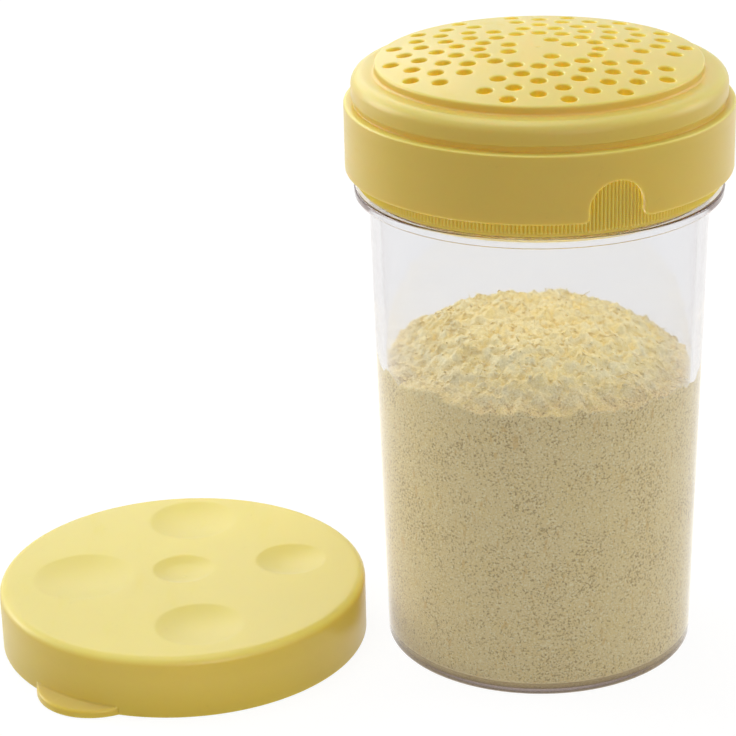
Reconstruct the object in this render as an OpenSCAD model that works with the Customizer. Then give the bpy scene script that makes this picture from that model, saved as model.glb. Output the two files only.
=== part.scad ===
// Shaker for grated parmesan: a clear tapered jar, a ribbed screw ring, a
// domed sieve cap that pulls off the ring, and a press-on seal lid that lies
// beside the jar. Millimetres, +Z up, origin at the centre of the jar's foot.

/* [Jar] */
// Height from the foot to the underside of the collar
wall_h = 111.5; // [90:0.5:150]
// Outside radius at the foot
jar_foot_r = 36.3; // [33:0.1:38]
// Outside radius just below the collar
jar_top_r = 38.9; // [38:0.1:44]
// Thickness of the wall
jar_wall = 2.4; // [1.8:0.1:3]
// Thickness of the floor
jar_floor = 2; // [1.5:0.1:4]
// Rounding of the outside edge of the foot
foot_round = 1.4; // [0.5:0.1:2]
// Rounding inside, between floor and wall
floor_round = 2; // [1:0.1:4]
// Thickness of the collar that the screw ring stops above
collar_t = 2.1; // [1.5:0.1:4]
// How far the collar stands out past the ribs of the screw ring
collar_over = 0.3; // [0:0.1:1]
// Rounding of the collar's edges
collar_round = 0.6; // [0.2:0.1:0.7]

/* [Neck and thread] */
// Height of the threaded neck above the collar
neck_h = 14.4; // [13:0.1:20]
// How much smaller the neck is than the top of the wall, in radius
neck_step = 0.7; // [0.3:0.1:1]
// Thickness of the neck
neck_wall = 2.2; // [1.6:0.1:3]
// Rounding of the lip
lip_round = 0.6; // [0.2:0.1:0.8]
// Rise of the thread in one turn
thread_pitch = 4; // [3.6:0.1:5]
// Turns of thread on the neck
thread_turns = 1.5; // [1.25:0.05:1.7]
// Turns of thread inside the screw ring
ring_thread_turns = 1; // [0.5:0.05:1.15]
// Height of a thread above the surface that carries it
thread_depth = 1.2; // [0.8:0.1:1.5]
// Width of a thread where it meets that surface
thread_root_w = 2; // [1.6:0.1:2.1]
// Width of a thread at its crest
thread_crest_w = 0.9; // [0.6:0.1:1]
// Height of the first thread's middle above the collar
thread_low = 3.9; // [3.5:0.1:4.5]
// Play between the flanks that pull the ring down
thread_play = 0.3; // [0.1:0.05:0.6]

/* [Screw ring and washer] */
// Clearance between the plastic pieces, in radius
fit_gap = 0.3; // [0.2:0.05:0.5]
// Wall of the screw ring between its thread and its ribs
ring_wall = 1.7; // [1.2:0.1:3]
// Clearance between the ring's lower edge and the collar
ring_gap = 0.4; // [0.2:0.1:1]
// Thickness of the web that presses the washer on the lip
web_t = 1.8; // [1.2:0.1:3]
// Number of grip ribs around the ring
rib_count = 300; // [120:10:360]
// Height of a rib
rib_depth = 0.4; // [0.2:0.05:0.8]
// Thickness of the sealing washer
washer_t = 1.2; // [0.8:0.1:2]

/* [Sieve cap] */
// Wall of the smooth skirt outside the ribs
skirt_wall = 1.9; // [1.4:0.1:3]
// Height of the skirt from its lower edge to the ledge
skirt_h = 15.6; // [13:0.1:17]
// Rounding of the skirt's edges
skirt_round = 0.5; // [0.2:0.1:0.8]
// Thickness of the ledge over the screw ring
ledge_t = 2.1; // [1.4:0.1:3]
// Width of the ledge that the seal lid rests on
ledge_w = 1.7; // [1.4:0.1:2.2]
// Height of the shoulder above the ledge
shoulder_h = 6.5; // [5:0.1:9]
// Rounding of the shoulder's top edge
shoulder_round = 2.6; // [1:0.1:3]
// Height of the snap groove at the foot of the shoulder
groove_h = 1.4; // [0.8:0.1:2]
// Depth of the snap groove
groove_depth = 0.5; // [0.2:0.1:0.7]
// Thickness of the cap's shoulder and sieve
plate_t = 1.9; // [1.4:0.1:2.2]
// How far the raised sieve's edge lies in from the shoulder's side
sieve_inset = 5.4; // [4.8:0.1:7.8]
// Height of the sieve's edge above the shoulder
riser_h = 2.2; // [1.2:0.1:3]
// How much the sieve's middle stands above its edge
dome_rise = 2.6; // [1:0.1:4]
// Bevel of the sieve's edge, and rounding of the riser's foot
sieve_round = 0.6; // [0.3:0.1:1]
// Radius of a sieve hole
hole_r = 1.8; // [1:0.1:2]
// Width of the thumb notch
notch_w = 12.9; // [8:0.1:16]
// Height of the thumb notch
notch_h = 8.9; // [8:0.1:10]
// Rounding where the notch meets the skirt's edge
notch_round = 1.2; // [0.3:0.1:1.5]
// Direction of the notch, around Z from +X
notch_angle = -70.9; // [-180:0.1:180]

/* [Seal lid] */
// Wall of the lid's skirt
lid_wall = 1.5; // [1.2:0.1:2.5]
// Height of the lid
lid_h = 15; // [14.4:0.1:18]
// Thickness of the lid's top
lid_top_t = 1.7; // [1.3:0.1:1.8]
// Rounding of the lid's top edge
lid_round = 2; // [1:0.1:3]
// How far the snap bead stands in from the lid's wall
bead_h = 0.45; // [0.2:0.05:0.6]
// Depth of the round dimples in the lid's top
dimple_depth = 1.1; // [0.5:0.1:1.3]
// Radius of the pull tab's round edge
tab_r = 14; // [10:0.1:18]
// How far the pull tab stands out from the lid
tab_reach = 5; // [3:0.1:8]
// Thickness of the pull tab
tab_t = 2; // [1.5:0.1:3]
// Rounding of the pull tab's upper edge
tab_round = 0.7; // [0.2:0.1:0.9]
// Direction of the pull tab, around Z from +X
tab_angle = 237; // [180:1:270]
// Clear floor between the lid and the jar's foot
lid_gap = 5.5; // [5.5:0.1:60]
// How far the lid's centre lies behind the jar's
lid_back = 1.7; // [0:0.1:20]

/* [Grated cheese] */
// Clearance between the cheese and the wall
cheese_gap = 0.3; // [0.2:0.05:0.6]
// Height of the heap's top above the jar's foot
heap_h = 80; // [60:0.5:90]
// Radius of the heap's shoulders, from the side
heap_round = 50; // [36:0.5:58]
// Radius of the heap's flat middle
heap_flat_r = 6; // [2:0.5:20]
// How far the heap lies to the left of the jar's middle
heap_left = 1.5; // [0:0.1:1.7]
// How far the heap lies behind the jar's middle
heap_back = 0.5; // [0:0.1:1.7]

/* [Hidden] */
$fn = 96;

// How far a cut runs past the surface that it opens
overrun = 0.5;
// How deep a thread is rooted in the wall that carries it
thread_sink = 0.4;

// Radii of the neck, the thread and the ring, from the inside out
neck_r = jar_top_r - neck_step;
neck_in_r = neck_r - neck_wall;
ring_in_r = neck_r + thread_depth + fit_gap;
rib_root_r = ring_in_r + ring_wall;
rib_crest_r = rib_root_r + rib_depth;
collar_r = rib_crest_r + collar_over;
skirt_in_r = rib_crest_r + fit_gap;
skirt_r = skirt_in_r + skirt_wall;
shoulder_r = skirt_r - ledge_w;
sieve_r = shoulder_r - sieve_inset;
lid_in_r = shoulder_r + fit_gap;
lid_r = lid_in_r + lid_wall;

// Heights of the stack, from the foot up
collar_z = wall_h + collar_t;
lip_z = collar_z + neck_h;
ring_z = collar_z + ring_gap;
web_z = lip_z + washer_t;
ring_top_z = web_z + web_t;
ledge_z = ring_top_z + ledge_t;
skirt_z = ledge_z - skirt_h;
shoulder_z = ledge_z + shoulder_h;
sieve_z = shoulder_z + riser_h;

// Sphere that the sieve's upper face is a part of
dome_r = (sieve_r * sieve_r + dome_rise * dome_rise) / (2 * dome_rise);
dome_z = sieve_z + dome_rise - dome_r;

// The jar's inside radius at the floor and below the collar
bore_foot_r = jar_foot_r - jar_wall;
bore_top_r = jar_top_r - jar_wall;

// Sieve holes lie on seven rings, as shares of the sieve's radius. Each ring
// has a hole in every slot but those that three plain spokes cross, and its
// first slot is turned by the angle given. The second ring is never crossed.
ring_shares = [0.198, 0.366, 0.507, 0.618, 0.732, 0.816, 0.905];
ring_slots = [8, 16, 16, 16, 16, 16, 16];
ring_turns = [18.5, -4, 7.25, -4, 7.25, -4, 7.25];
ring_crossed = [true, false, true, true, true, true, true];
spoke_angles = [108, 228, 348];
spoke_share = 0.0705;
spoke_half_w = sieve_r * spoke_share;

// How far the notch's roundings run past the skirt's edge, of their radius
notch_past_share = 0.1;

// The lid's dimples: how far each lies to the right of and behind the lid's
// middle, and its radius, all as shares of the lid's radius.
dimple_shares = [
    [-0.54, -0.02, 0.275],
    [0.02, 0.67, 0.245],
    [0.59, 0.14, 0.19],
    [0, 0.05, 0.168],
    [0.12, -0.61, 0.235]
];
lid_x = -(jar_foot_r + lid_gap + lid_r);

// Pieces of a turn that a thread is drawn in. At each end, over a share of a
// turn, its height runs out almost to nothing and its width to a lesser share.
thread_steps = 48;
run_out_share = 0.06;
end_height_share = 0.02;
end_width_share = 0.4;

// Distance from the middle of the neck's thread down to the ring's, where
// their flanks lie thread_play apart
thread_slope = (thread_root_w - thread_crest_w) / thread_depth;
thread_drop = (thread_root_w + thread_crest_w - thread_slope * fit_gap) / 2 + thread_play;

// A corner's waste: what lies between the corner at [x, y] and a quarter
// circle of radius r. turn points the circle's middle away from the corner.
module corner(x, y, r, turn) {
    translate([x, y])
        rotate(turn)
            difference() {
                translate([-overrun, -overrun]) square(r + overrun);
                translate([r, r]) circle(r);
            }
}

// One section of a thread: radius and height of its four corners, at share
// t of the thread's length
function thread_section(root_r, out, t, turns) =
    let (
        fade = min(1, min(t, 1 - t) * turns / run_out_share),
        depth = thread_depth * max(end_height_share, fade),
        width_share = end_width_share + (1 - end_width_share) * fade,
        root_w = thread_root_w * width_share + thread_slope * thread_sink,
        crest_w = thread_crest_w * width_share
    )
    [
        [root_r - out * thread_sink, -root_w / 2],
        [root_r + out * depth, -crest_w / 2],
        [root_r + out * depth, crest_w / 2],
        [root_r - out * thread_sink, root_w / 2]
    ];

// A thread that climbs from low_z over a number of turns. out is 1 on the
// outside of a neck and -1 on the inside of a ring.
module thread(root_r, out, low_z, first_turn, turns) {
    count = round(thread_steps * turns);
    points = [
        for (i = [0:count])
            let (t = i / count, a = 360 * (first_turn + t * turns))
            for (p = thread_section(root_r, out, t, turns))
                [p[0] * cos(a), p[0] * sin(a), low_z + thread_pitch * t * turns + p[1]]
    ];
    sides = [
        for (i = [0:count - 1])
            for (j = [0:3])
                let (k = (j + 1) % 4, a = 4 * i, b = 4 * (i + 1))
                for (face = [[a + j, a + k, b + k], [a + j, b + k, b + j]])
                    out > 0 ? face : [face[2], face[1], face[0]]
    ];
    last = 4 * count;
    start_cap = [[2, 1, 0], [3, 2, 0]];
    end_cap = [[last, last + 1, last + 2], [last, last + 2, last + 3]];
    caps = [
        for (face = concat(start_cap, end_cap))
            out > 0 ? face : [face[2], face[1], face[0]]
    ];
    polyhedron(points, concat(sides, caps));
}

// Outline of the jar's inside, from the axis out
module jar_bore() {
    difference() {
        polygon([
            [0, jar_floor],
            [bore_foot_r, jar_floor],
            [bore_foot_r, jar_floor + floor_round],
            [bore_top_r, wall_h],
            [neck_in_r, collar_z],
            [neck_in_r, lip_z + overrun],
            [0, lip_z + overrun]
        ]);
        corner(bore_foot_r, jar_floor, floor_round, 90);
    }
}

module jar_section() {
    difference() {
        union() {
            polygon([
                [0, 0],
                [jar_foot_r, 0],
                [jar_foot_r, foot_round],
                [jar_top_r, wall_h],
                [0, wall_h]
            ]);
            translate([0, wall_h]) square([collar_r, collar_t]);
            translate([0, wall_h]) square([neck_r, lip_z - wall_h]);
            corner(jar_top_r, wall_h, collar_round, -90);
        }
        corner(jar_foot_r, 0, foot_round, 90);
        corner(collar_r, wall_h, collar_round, 90);
        corner(collar_r, collar_z, collar_round, 180);
        corner(neck_r, lip_z, lip_round, 180);
        jar_bore();
    }
}

module jar() {
    color([0.9, 0.92, 0.93, 0.35]) {
        rotate_extrude() jar_section();
        thread(neck_r, 1, collar_z + thread_low, 0, thread_turns);
    }
}

// Outline of the grated cheese up to the wall, with its lower edge rounded
// more than the floor is, so that it only touches the floor
module cheese_outline() {
    side_r = bore_foot_r - cheese_gap;
    edge_round = floor_round + 2 * cheese_gap;
    difference() {
        polygon([
            [0, jar_floor],
            [side_r, jar_floor],
            [side_r, jar_floor + floor_round],
            [bore_top_r - cheese_gap, wall_h],
            [0, wall_h]
        ]);
        corner(side_r, jar_floor, edge_round, 90);
    }
}

module heap_outline() {
    low_z = heap_h - heap_round;
    square([heap_flat_r, heap_h]);
    square([heap_flat_r + heap_round, low_z]);
    intersection() {
        translate([heap_flat_r, low_z]) circle(heap_round);
        square([heap_flat_r + heap_round, heap_h]);
    }
}

module grated_cheese() {
    color("burlywood")
        intersection() {
            rotate_extrude() cheese_outline();
            translate([-heap_left, heap_back, 0]) rotate_extrude() heap_outline();
        }
}

module sealing_washer() {
    color("ivory")
        rotate_extrude()
            translate([neck_in_r, lip_z]) square([neck_wall, washer_t]);
}

// A ring of fine upright ribs, sharp-edged, with its root circle filled in
module ribbed_disc() {
    slot = 360 / rib_count;
    polygon([
        for (i = [0:rib_count - 1])
            for (p = [[rib_root_r, i * slot], [rib_crest_r, (i + 1 / 2) * slot]])
                [p[0] * cos(p[1]), p[0] * sin(p[1])]
    ]);
}

module screw_ring() {
    first_turn = thread_turns - ring_thread_turns;
    thread_z = collar_z + thread_low + first_turn * thread_pitch - thread_drop;
    color("khaki") {
        difference() {
            translate([0, 0, ring_z]) linear_extrude(ring_top_z - ring_z) ribbed_disc();
            translate([0, 0, ring_z - overrun]) cylinder(h = web_z - ring_z + overrun, r = ring_in_r);
            translate([0, 0, ring_z]) cylinder(h = ring_top_z - ring_z + overrun, r = neck_in_r);
        }
        thread(ring_in_r, -1, thread_z, first_turn, ring_thread_turns);
    }
}

// A rectangle from the axis out to radius r, between two heights
module square_up(r, low_z, high_z) {
    translate([0, low_z]) square([r, high_z - low_z]);
}

// Outline of a raised disc of radius r under the sieve's sphere, from low_z
// up. drop sinks its face into the sieve, along the sphere's own radius.
module dome_outline(r, low_z, drop) {
    intersection() {
        square_up(r, low_z, sieve_z + dome_rise + overrun);
        translate([0, dome_z]) circle(dome_r - drop, $fn = 360);
    }
}

module cap_outline() {
    difference() {
        union() {
            square_up(skirt_r, skirt_z, ledge_z);
            square_up(shoulder_r, skirt_z, shoulder_z);
            dome_outline(sieve_r, skirt_z, 0);
            corner(sieve_r, shoulder_z, sieve_round, 0);
        }
        corner(skirt_r, skirt_z, skirt_round, 90);
        corner(skirt_r, ledge_z, skirt_round, 180);
        corner(shoulder_r, shoulder_z, shoulder_round, 180);
        translate([shoulder_r - groove_depth, ledge_z]) square([groove_depth + overrun, groove_h]);
        polygon([
            [sieve_r - sieve_round - overrun, sieve_z + overrun],
            [sieve_r + overrun, sieve_z - sieve_round - overrun],
            [sieve_r + overrun, sieve_z + overrun]
        ]);
    }
}

// Outline of the hollow under the cap: the ring's room and the sieve's room
module cap_hollow() {
    wall_in_r = shoulder_r - plate_t - groove_depth;
    ceiling_z = shoulder_z - plate_t;
    square_up(skirt_in_r, skirt_z - overrun, ring_top_z);
    difference() {
        square_up(wall_in_r, ring_top_z - overrun, ceiling_z);
        corner(wall_in_r, ceiling_z, shoulder_round / 2, 180);
    }
    dome_outline(sieve_r - plate_t, ceiling_z - overrun, plate_t);
}

// The notch's roundings run a little past the skirt's edge and cross it at an
// angle
module notch_outline() {
    arch_r = notch_w / 2;
    past = notch_round * notch_past_share;
    translate([0, notch_h - arch_r]) circle(arch_r);
    translate([-arch_r, -overrun]) square([notch_w, notch_h - arch_r + overrun]);
    corner(arch_r, -past, notch_round, 0);
    corner(-arch_r, -past, notch_round, 90);
}

// A sieve hole's slot is crossed where its middle lies too near a spoke
function crossed(r, a) =
    len([for (s = spoke_angles) if (cos(a - s) > 0 && abs(r * sin(a - s)) < spoke_half_w) s]) > 0;

module sieve_holes() {
    for (i = [0:len(ring_shares) - 1]) {
        r = sieve_r * ring_shares[i];
        for (j = [0:ring_slots[i] - 1]) {
            a = ring_turns[i] + j * 360 / ring_slots[i];
            if (!ring_crossed[i] || !crossed(r, a))
                rotate(a)
                    translate([r, 0, shoulder_z - plate_t])
                        cylinder(h = riser_h + dome_rise + plate_t + overrun, r = hole_r, $fn = 32);
        }
    }
}

module sieve_cap() {
    color("khaki")
        difference() {
            rotate_extrude()
                difference() {
                    cap_outline();
                    cap_hollow();
                }
            sieve_holes();
            rotate([0, 0, notch_angle])
                translate([neck_r, 0, skirt_z])
                    rotate([90, 0, 90])
                        linear_extrude(skirt_r - neck_r + overrun) notch_outline();
        }
}

module lid_outline() {
    difference() {
        square([lid_r, lid_h]);
        corner(lid_r, lid_h, lid_round, 180);
    }
}

module tab_outline() {
    difference() {
        square([tab_r, tab_t]);
        corner(tab_r, tab_t, tab_round, 180);
    }
}

// The dimples' spheres, grown by more to leave the lid's top a constant wall
module dimples(more) {
    for (d = dimple_shares) {
        r = lid_r * d[2];
        ball_r = (r * r + dimple_depth * dimple_depth) / (2 * dimple_depth);
        translate([lid_r * d[0], lid_r * d[1], lid_h - dimple_depth + ball_r])
            sphere(ball_r + more, $fn = 180);
    }
}

module lid_hollow() {
    translate([0, 0, -overrun]) cylinder(h = lid_h - lid_top_t + overrun, r = lid_in_r);
}

module seal_lid() {
    color("khaki")
        translate([lid_x, lid_back, 0])
            difference() {
                union() {
                    difference() {
                        union() {
                            rotate_extrude() lid_outline();
                            rotate([0, 0, tab_angle])
                                translate([lid_r + tab_reach - tab_r, 0, 0])
                                    rotate_extrude() tab_outline();
                        }
                        lid_hollow();
                    }
                    intersection() {
                        translate([0, 0, groove_h]) cylinder(h = lid_h - groove_h - lid_top_t / 2, r = lid_in_r);
                        dimples(lid_top_t);
                    }
                    rotate_extrude()
                        intersection() {
                            translate([lid_in_r + groove_h / 2 - bead_h, groove_h / 2]) circle(groove_h / 2);
                            square([lid_in_r + lid_wall / 2, groove_h]);
                        }
                }
                dimples(0);
            }
}

jar();
grated_cheese();
sealing_washer();
screw_ring();
sieve_cap();
seal_lid();
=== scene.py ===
"""Dresses the parmesan shaker's packed solids: jar, grated cheese, washer, ribbed ring, sieve cap and lid"""

import math

import bmesh
import bpy
import numpy as np
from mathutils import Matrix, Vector, noise
from mathutils.geometry import delaunay_2d_cdt


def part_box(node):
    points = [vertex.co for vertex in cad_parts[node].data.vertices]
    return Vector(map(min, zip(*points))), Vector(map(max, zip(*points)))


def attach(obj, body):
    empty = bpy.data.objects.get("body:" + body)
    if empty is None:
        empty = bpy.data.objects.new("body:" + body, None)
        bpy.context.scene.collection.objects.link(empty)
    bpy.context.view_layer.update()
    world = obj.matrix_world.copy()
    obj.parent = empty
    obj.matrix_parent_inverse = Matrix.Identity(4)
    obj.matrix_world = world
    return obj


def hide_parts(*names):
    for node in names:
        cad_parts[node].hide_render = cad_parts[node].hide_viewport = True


bl_info = {
    "name": "Parmesan shaker",
    "version": (1, 0, 0),
    "blender": (4, 5, 0),
    "location": "3D View > Sidebar > Shaker",
    "description": "Makes the shaker's jar, cheese, ring, sieve cap and lid around the packed solids",
    "category": "Object",
}

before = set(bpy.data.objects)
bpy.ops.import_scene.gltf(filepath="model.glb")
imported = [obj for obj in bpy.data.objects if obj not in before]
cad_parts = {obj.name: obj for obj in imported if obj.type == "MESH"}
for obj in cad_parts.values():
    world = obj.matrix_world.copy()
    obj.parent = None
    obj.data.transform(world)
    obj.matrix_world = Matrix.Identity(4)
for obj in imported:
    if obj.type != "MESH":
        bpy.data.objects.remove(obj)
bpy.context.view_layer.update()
_, jar_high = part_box("jar")
_, cheese_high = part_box("grated_cheese")
washer_low, washer_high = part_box("sealing_washer")
ring_low, ring_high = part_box("screw_ring")
cap_low, cap_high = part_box("sieve_cap")
lid_low, lid_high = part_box("seal_lid")

FULL_TURN = 2 * math.pi
MM = 1000  # millimetres in a metre: flat regions and noise are worked out in millimetres

# Fine measures in metres, unless they say otherwise. They are no settings, because a setting is rounded
SAME_POINT = 1e-7
RUN_OUT = 0.06  # turns over which a thread's end runs out
RIB_POWER = 0.8  # power of the ribs' wave: below 1 it widens their crests
WASHER_ROUND = 0.00018  # rounding of the washer's edges
UNDER_BEVEL = 0.00012  # bevel of a sieve hole's lower rim
SIEVE_GRID = 0.0013  # distance between the points on the sieve
NOTCH_GRID = 0.00095  # and round the thumb notch
LID_GRID = 0.0015  # and on the lid's top
HEAP_GRID = 0.00042  # and on the heap
HEAP_SHIFT = 0.0001  # how far a point of the heap's grid is moved at random
HEAP_FOOT_Z = 0.072  # height at which the heap meets the wall
STREW_Z = 0.074  # height at which the jar's inside bounds the loose flakes
TOUCH = 0.00005  # how far the cheese's foot reaches into the floor and wall
PRESS, PRESS_WAVE = 0.00006, 0.00003  # how far its side reaches into the wall, and how much that varies
FLAKE_LEAN = 0.32  # how far chance leans a flake's upright, as a share of it
TAB_FILLET = 0.0005  # rounding where the lid's tab leaves its side
RIM_STEP = 0.00032  # distance between the rows of points at a dimple's rim


# Kinds of setting


def length(name, description, default):
    """A length in metres"""
    return bpy.props.FloatProperty(
        name=name, description=description, default=default, precision=5, unit="LENGTH", subtype="DISTANCE"
    )


def angle(name, description, degrees):
    """An angle, given in degrees"""
    return bpy.props.FloatProperty(
        name=name, description=description, default=math.radians(degrees), unit="ROTATION", subtype="ANGLE"
    )


def turns(name, description, default):
    """A number of turns that need not be whole"""
    return bpy.props.FloatProperty(name=name, description=description, default=default, min=0)


def number(name, description, default):
    """A whole number"""
    return bpy.props.IntProperty(name=name, description=description, default=default, min=1)


def colour(name, description, default):
    """A colour's red, green and blue"""
    return bpy.props.FloatVectorProperty(
        name=name, description=description, default=default, size=3, min=0, max=1, subtype="COLOR"
    )


class JarSizes(bpy.types.PropertyGroup):
    """Sizes of the clear jar and its thread"""

    foot_r: length("Foot radius", "Outside radius at the foot", 0.0363)
    top_r: length("Top radius", "Outside radius below the collar", 0.0389)
    wall: length("Wall", "Thickness of the wall", 0.0024)
    floor: length("Floor", "Thickness of the floor", 0.002)
    foot_round: length("Foot rounding", "Rounding of the foot's outside edge", 0.0014)
    floor_round: length("Floor rounding", "Rounding between floor and wall, inside", 0.002)
    recess_r: length("Recess radius", "Radius of the shallow recess under the foot", 0.0318)
    recess_depth: length("Recess depth", "Depth of the recess under the foot", 0.0005)
    wall_h: length("Wall height", "Height of the collar's underside", 0.1115)
    collar_t: length("Collar thickness", "Thickness of the collar", 0.0021)
    collar_round: length("Collar rounding", "Rounding of the collar's edges", 0.0006)
    neck_r: length("Neck radius", "Outside radius of the neck", 0.0382)
    neck_wall: length("Neck wall", "Thickness of the neck", 0.0022)
    lip_round: length("Lip rounding", "Rounding of the lip", 0.0006)
    thread_z: length("Thread start", "Height at which the thread starts", 0.1175)
    thread_turns: turns("Thread turns", "Turns of thread on the neck", 1.5)


class RingSizes(bpy.types.PropertyGroup):
    """Sizes of the screw ring and the thread that it shares with the jar"""

    inner_r: length("Inside radius", "Inside radius of the ring's wall", 0.0397)
    web_r: length("Web opening", "Radius of the opening in the web", 0.036)
    web_z: length("Web underside", "Height of the web's underside", 0.1292)
    rib_depth: length("Rib depth", "Height of a grip rib", 0.0004)
    rib_count: number("Ribs", "Number of grip ribs", 300)
    hem: length("Hem", "Height of the plain hem below the ribs", 0.0008)
    hem_slant: length("Hem slant", "How far the hem leans in", 0.0004)
    pitch: length("Thread pitch", "Rise of the thread in one turn", 0.004)
    depth: length("Thread depth", "Height of a thread", 0.0012)
    root_w: length("Thread foot", "Width of a thread where it meets its wall", 0.002)
    crest_w: length("Thread crest", "Width of a thread at its crest", 0.0009)
    thread_z: length("Thread start", "Height at which the ring's thread starts", 0.1178875)
    thread_turns: turns("Thread turns", "Turns of thread in the ring", 1.0)


class CapSizes(bpy.types.PropertyGroup):
    """Sizes of the sieve cap"""

    skirt_wall: length("Skirt wall", "Wall of the skirt", 0.0019)
    ledge_z: length("Ledge height", "Height of the ledge that the lid rests on", 0.1331)
    ledge_w: length("Ledge width", "Width of the ledge", 0.0017)
    edge_round: length("Edge rounding", "Rounding of the skirt's edges", 0.0005)
    inner_round: length("Inner rounding", "Rounding of the skirt's lower edge, inside", 0.0003)
    shoulder_h: length("Shoulder height", "Height of the shoulder above the ledge", 0.0065)
    shoulder_round: length("Shoulder rounding", "Rounding of the shoulder's edge", 0.0026)
    groove_h: length("Groove height", "Height of the groove at the shoulder's foot", 0.0014)
    groove_depth: length("Groove depth", "Depth of that groove", 0.0005)
    plate_t: length("Plate thickness", "Thickness of the shoulder and the sieve", 0.0019)
    sieve_r: length("Sieve radius", "Radius of the raised sieve", 0.0369)
    riser_wall: length("Riser wall", "Thickness of the riser", 0.0012)
    riser_h: length("Riser height", "Height of the sieve's edge above the shoulder", 0.0022)
    sieve_round: length("Sieve rounding", "Rounding at the top and foot of the riser", 0.0006)
    hole_r: length("Hole radius", "Radius of a sieve hole", 0.0018)
    hole_round: length("Hole rounding", "Rounding of a hole's upper rim", 0.00035)
    hole_turns: number("Points round a hole", "Points round each hole", 28)
    gate_r: length("Gate mark", "Radius of the mark that the mould's gate left", 0.0009)
    gate_depth: length("Gate depth", "Depth of the gate mark", 0.00012)
    notch_w: length("Notch width", "Width of the thumb notch", 0.0129)
    notch_h: length("Notch height", "Height of the thumb notch", 0.0089)
    notch_round: length("Notch rounding", "Rounding where the notch meets the lower edge", 0.0012)
    notch_angle: angle("Notch direction", "Direction of the notch, round Z from +X", -70.9)


class LidSizes(bpy.types.PropertyGroup):
    """Sizes of the seal lid"""

    wall: length("Wall", "Wall of the lid's skirt", 0.0015)
    top_t: length("Top thickness", "Thickness of the lid's top", 0.0017)
    top_round: length("Top rounding", "Rounding of the lid's top edge", 0.002)
    foot_round: length("Edge rounding", "Rounding of the lid's lower edge", 0.0003)
    bead_h: length("Bead height", "How far the snap bead stands in", 0.00045)
    bead_w: length("Bead width", "Height of the snap bead", 0.0014)
    dimple_depth: length("Dimple depth", "Depth of the round dimples", 0.0011)
    dimple_soft: length("Dimple softness", "Depth over which a dimple's rim is rounded", 0.00011)
    tab_r: length("Tab radius", "Radius of the pull tab's edge", 0.014)
    tab_reach: length("Tab reach", "How far the tab stands out", 0.005)
    tab_t: length("Tab thickness", "Thickness of the tab", 0.002)
    tab_round: length("Tab rounding", "Rounding of the tab's upper edge", 0.0007)
    tab_angle: angle("Tab direction", "Direction of the tab, round Z from +X", 237)


class CheeseSizes(bpy.types.PropertyGroup):
    """Sizes and counts of the grated cheese"""

    gap: length("Wall gap", "Clearance between the cheese and the wall", 0.0003)
    heap_h: length("Heap height", "Height of the heap's top", 0.08)
    heap_round: length("Heap rounding", "Radius of the heap's slopes, from the side", 0.05)
    heap_flat_r: length("Heap middle", "Radius of the heap's flat middle", 0.006)
    heap_left: length("Heap to the left", "How far the heap lies to the left of the middle", 0.0015)
    heap_back: length("Heap to the back", "How far the heap lies behind the middle", 0.0005)
    grain: length("Grain", "Size of the surface's cells", 0.00072)
    flakes: number("Flakes", "Loose flakes on the heap", 2400)
    seed: number("Seed", "Start of the random draws", 7)


class Finishes(bpy.types.PropertyGroup):
    """Colours of the pieces and the stage"""

    cap: colour("Cap", "Colour of the sieve cap and the lid", (0.78, 0.67, 0.155))
    ring: colour("Ring", "Colour of the screw ring", (0.79, 0.69, 0.17))
    clear: colour("Jar", "Tint of the clear plastic", (0.87, 0.87, 0.88))
    cheese: colour("Cheese", "Colour of the grated cheese", (0.84, 0.79, 0.49))
    # The pressed cheese's streaks take this colour, and the painted shadow in its gaps a darker share of it
    cheese_shadow_and_streaks: colour("Cheese hollows", "Colour in the hollows of the cheese", (0.66, 0.43, 0.13))
    foam: colour("Washer", "Colour of the foam washer", (0.80, 0.79, 0.74))
    floor: colour("Floor", "Colour of the floor", (0.72, 0.72, 0.72))


GROUPS = {
    "shaker_jar": JarSizes,
    "shaker_ring": RingSizes,
    "shaker_cap": CapSizes,
    "shaker_lid": LidSizes,
    "shaker_cheese": CheeseSizes,
    "shaker_finish": Finishes,
}

# Sieve holes lie on seven rings: share of the sieve's radius, slots in a turn, turn of the first slot in
# degrees, and whether the three plain spokes leave out the slots that they cross. The spokes are given by
# their directions in degrees and half of their width as a share of the sieve's radius
HOLE_RINGS = [
    (0.198, 8, 18.5, True),
    (0.366, 16, -4, False),
    (0.507, 16, 7.25, True),
    (0.618, 16, -4, True),
    (0.732, 16, 7.25, True),
    (0.816, 16, -4, True),
    (0.905, 16, 7.25, True),
]
SPOKES = (108, 228, 348)
SPOKE_SHARE = 0.0705

# The lid's dimples: centre and radius, as shares of the lid's radius
DIMPLES = [
    (-0.54, -0.02, 0.275),
    (0.02, 0.67, 0.245),
    (0.59, 0.14, 0.19),
    (0, 0.05, 0.168),
    (0.12, -0.61, 0.235),
]

# The mark of the mould's gate on the lid: its middle, radius and rise
LID_GATE = (0.00055, -0.00016)
LID_GATE_R = 0.0006
LID_GATE_RISE = 0.00008

# Loose cheese is small flakes and long shreds: stations along a piece, ranges of its width and its thickness,
# how much it curls either way, and the range of its height over the heap in thicknesses
FLAKE = (3, (0.0005, 0.0009), (0.0003, 0.0005), 0.5, (-0.35, 0.0))
SHRED = (6, (0.0002, 0.00034), (0.00014, 0.0002), 1.1, (-0.1, 0.45))

# One piece in so many is a shred. Then the range of a shred's length, a flake's least length, and the most
# that chance adds to that
SHRED_EVERY = 7
SHRED_REACH = (0.0022, 0.0042)
FLAKE_LEAST, FLAKE_MORE = 0.0007, 0.0010

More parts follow.
